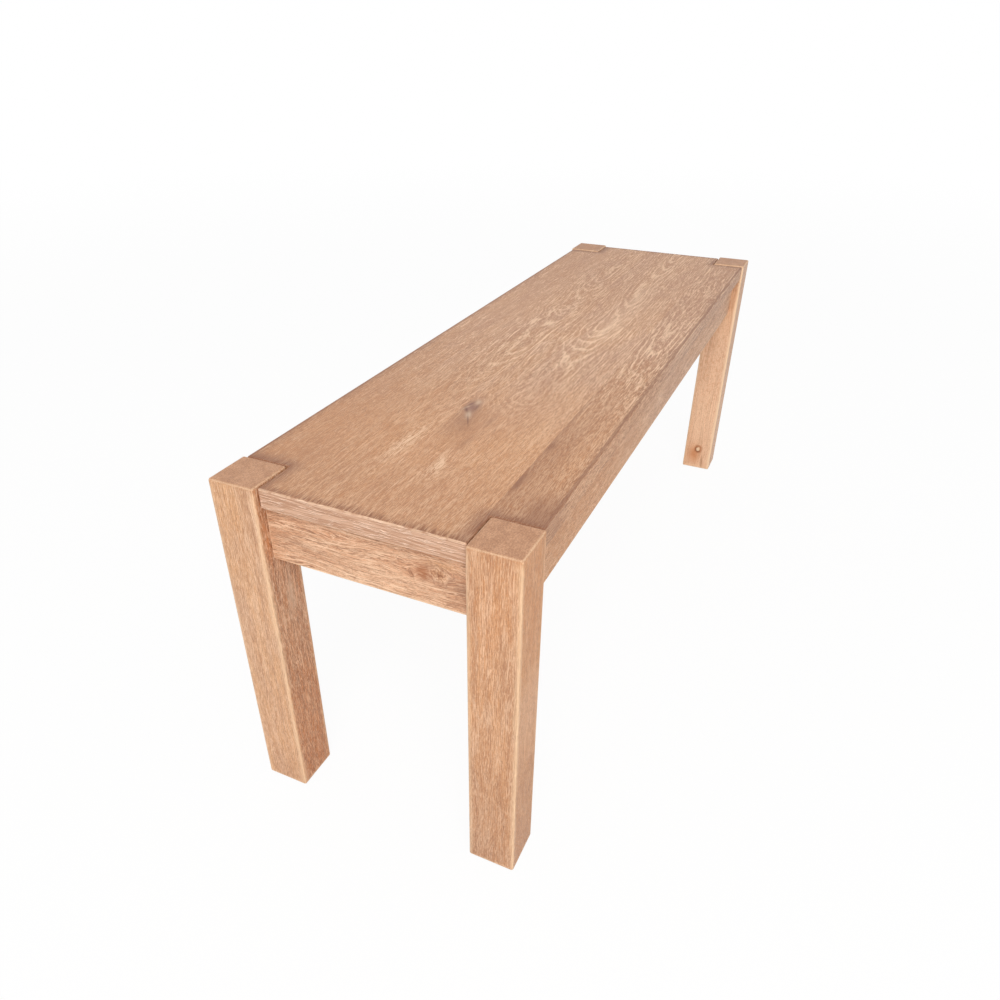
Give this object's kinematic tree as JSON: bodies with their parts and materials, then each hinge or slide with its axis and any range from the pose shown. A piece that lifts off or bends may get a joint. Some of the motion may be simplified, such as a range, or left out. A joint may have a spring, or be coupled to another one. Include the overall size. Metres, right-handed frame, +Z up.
{
  "type": "dining bench",
  "caption": "Backless oak dining bench: a boarded seat notched round square corner posts that run up flush with it, over an apron frame with bolted corner blocks.",
  "frame": {"origin": "on the floor, under the middle of the seat", "axes": "+X along the bench to its right end, +Y to its back, +Z up; the front, -Y, is the long side that the picture shows at the right"},
  "size_m": [1.22, 0.37, 0.47],
  "materials": {
    "oak_seat": "limed oak, satin lacquer",
    "oak_leg": "limed oak, satin lacquer",
    "oak_apron": "limed oak, satin lacquer",
    "hidden_wood": "planed, bare",
    "dowel_wood": "turned, bare",
    "zinc_steel": "bright zinc plate",
    "screw_steel": "yellow zinc plate",
    "glide_plastic": "moulded, matt"
  },
  "bodies": {
    "root": {"top_board_front": "oak_seat", "top_board_middle_front": "oak_seat", "top_board_middle_back": "oak_seat", "top_board_back": "oak_seat", "leg_front_left": "oak_leg", "leg_front_right": "oak_leg", "leg_back_left": "oak_leg", "leg_back_right": "oak_leg", "side_apron_front": "oak_apron", "side_apron_back": "oak_apron", "end_apron_left": "oak_apron", "end_apron_right": "oak_apron", "corner_block_front_left": "hidden_wood", "top_cleat_front_left": "hidden_wood", "corner_block_front_right": "hidden_wood", "top_cleat_front_right": "hidden_wood", "corner_block_back_left": "hidden_wood", "top_cleat_back_left": "hidden_wood", "corner_block_back_right": "hidden_wood", "top_cleat_back_right": "hidden_wood", "cross_rail": "hidden_wood", "cross_rail_dowels": "dowel_wood", "hanger_bolts": "zinc_steel", "hanger_bolt_washers": "zinc_steel", "hanger_bolt_nuts": "zinc_steel", "corner_block_screws": "screw_steel", "cleat_screws": "screw_steel", "top_screws": "screw_steel", "foot_glide_front_left": "glide_plastic", "foot_glide_front_right": "glide_plastic", "foot_glide_back_left": "glide_plastic", "foot_glide_back_right": "glide_plastic"}
  },
  "joints": []
}
